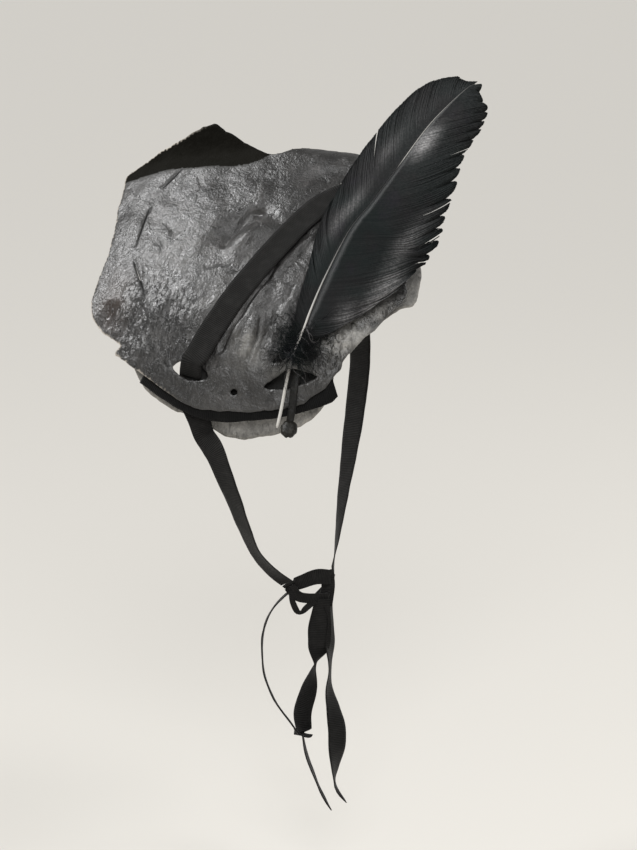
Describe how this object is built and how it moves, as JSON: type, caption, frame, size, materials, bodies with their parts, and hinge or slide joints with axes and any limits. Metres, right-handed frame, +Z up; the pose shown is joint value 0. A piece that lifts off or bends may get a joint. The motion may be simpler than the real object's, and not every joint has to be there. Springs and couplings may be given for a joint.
{
  "type": "leather hat",
  "caption": "Small tilted leather hat of moulded sheets, with a long curled feather, a ribbon over the crown and ties knotted in a bow under the chin.",
  "frame": {"origin": "where the crown of the head meets the hat's inner face, with the hat as it is worn", "axes": "+Z up, the wearer faces -Y, the wearer's right is at -X"},
  "size_m": [0.1989, 0.219, 0.4802],
  "materials": {
    "aged_leather": "worn and wrinkled, dull sheen",
    "under_leather": "worn, greyer than the upper leather",
    "band_ribbon": "matt",
    "grosgrain_ribbon": "fine cross ribs, matt",
    "black_feather": "silky, in loose curled locks",
    "leather_thong": "smooth, slightly shiny"
  },
  "bodies": {
    "root": {"upper_leather": "aged_leather", "under_leather": "under_leather", "hat_band": "band_ribbon", "crown_ribbon": "grosgrain_ribbon", "chin_tie_right": "grosgrain_ribbon", "chin_tie_left": "grosgrain_ribbon", "bow": "grosgrain_ribbon", "feather": "black_feather", "quill_tie": "leather_thong"}
  },
  "joints": []
}
